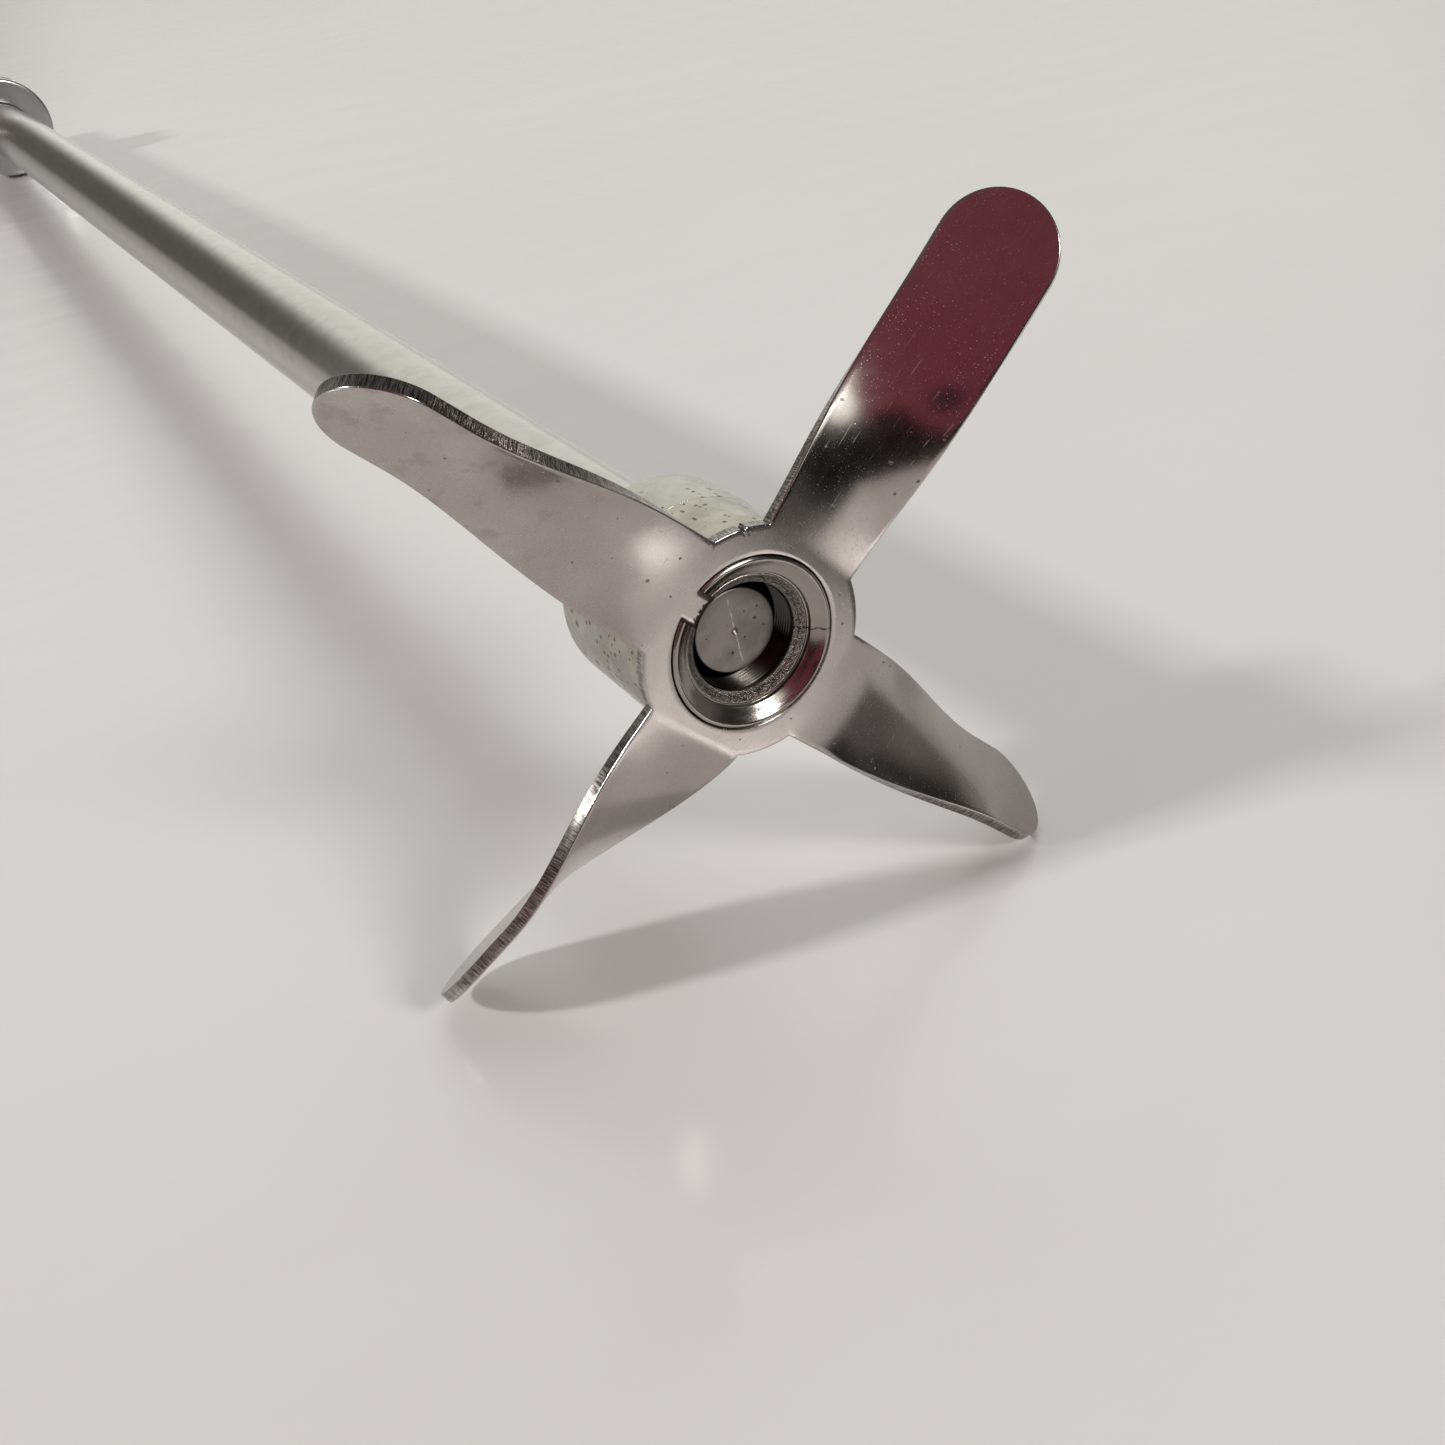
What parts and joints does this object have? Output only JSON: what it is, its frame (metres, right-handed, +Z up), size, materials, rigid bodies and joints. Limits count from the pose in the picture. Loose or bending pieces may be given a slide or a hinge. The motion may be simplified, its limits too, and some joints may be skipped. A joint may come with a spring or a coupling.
{
  "type": "stirring propeller",
  "caption": "Stainless stirring propeller: a pressed, twisted blade star clinched on a turned hub boss at the end of a long round shaft with a drive collar.",
  "frame": {"origin": "on the table under the middle of the assembly, which lies on two blade tips and on its drive collar", "axes": "the shaft runs along Y with the blades at -Y and its nose tilted up by about 2.4 degrees; +Z up"},
  "size_m": [0.0596, 0.4462, 0.0603],
  "materials": {
    "pressed_sheet": "polished pressed stainless sheet with fine grain",
    "turned_boss": "turned stainless, lightly pitted",
    "turned_ferrule": "turned stainless, smoother than the boss",
    "polished_shaft": "polished stainless tube",
    "stud_face": "matte faced rod end with a centre mark",
    "collar": "turned stainless",
    "grub_screw": "black oxide"
  },
  "bodies": {
    "root": {"propeller_star": "pressed_sheet", "hub_boss": "turned_boss", "hub_ferrule": "turned_ferrule", "shaft_stud": "stud_face", "shaft_tube": "polished_shaft", "drive_collar": "collar", "collar_screw_1": "grub_screw", "collar_screw_2": "grub_screw", "shaft_end_plug": "polished_shaft"}
  },
  "joints": []
}
